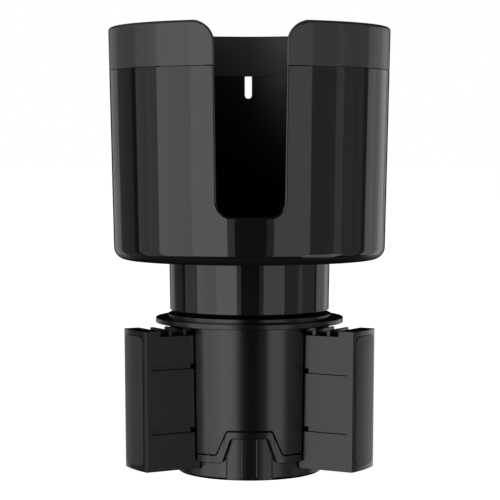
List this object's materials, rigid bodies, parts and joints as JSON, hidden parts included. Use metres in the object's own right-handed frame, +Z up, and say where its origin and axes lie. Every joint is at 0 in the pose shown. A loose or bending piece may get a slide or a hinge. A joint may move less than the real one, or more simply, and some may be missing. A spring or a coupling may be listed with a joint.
{
  "type": "car cup holder with expanding base",
  "caption": "Large tapered drink cup with a handle slot on a base whose sliding legs expand to grip a car's cup well as the cup is twisted.",
  "frame": {"origin": "centre of the foot's underside, on the axis of the cup", "axes": "+Z up along the cup axis, -Y towards the handle slot, +X to the right seen from the slot side"},
  "size_m": [0.107, 0.1054, 0.1685],
  "materials": {
    "gloss_black": "gloss",
    "satin_black": "satin",
    "soft_black": "matt",
    "grip_rubber": "matt",
    "screw_steel": "plain"
  },
  "bodies": {
    "base": {"base_sleeve": "satin_black", "base_body": "gloss_black", "foot_pad": "soft_black", "spindle_washer": "screw_steel", "spindle_screw": "screw_steel", "base_screw_front": "screw_steel", "base_screw_left": "screw_steel", "base_screw_right": "screw_steel"},
    "upper": {"cup_body": "gloss_black", "rim_ring": "satin_black", "cup_mat": "soft_black", "neck_tube": "gloss_black", "scroll_flange": "satin_black", "cup_screw_left": "screw_steel", "cup_screw_right": "screw_steel", "cup_screw_back": "screw_steel"},
    "left_leg": {"leg_left": "satin_black", "grip_left": "grip_rubber"},
    "right_leg": {"leg_right": "satin_black", "grip_right": "grip_rubber"},
    "back_leg": {"leg_back": "satin_black", "grip_back": "grip_rubber"}
  },
  "joints": [
    {"name": "twist", "type": "hinge", "parent": "base", "child": "upper", "pos_m": [0, 0, 0.0576], "axis": [0, 0, 1], "range_deg": [0, 288]},
    {"name": "slide_left", "type": "slide", "parent": "base", "child": "left_leg", "axis": [-0.866, -0.5, 0], "range_m": [-0.0144, 0]},
    {"name": "slide_right", "type": "slide", "parent": "base", "child": "right_leg", "axis": [0.866, -0.5, 0], "range_m": [-0.0144, 0]},
    {"name": "slide_back", "type": "slide", "parent": "base", "child": "back_leg", "axis": [0, 1, 0], "range_m": [-0.0144, 0]}
  ],
  "couplings": [
    {"joint": "slide_left", "follows": "twist", "m_per_rad": -0.0028648},
    {"joint": "slide_right", "follows": "twist", "m_per_rad": -0.0028648},
    {"joint": "slide_back", "follows": "twist", "m_per_rad": -0.0028648}
  ]
}
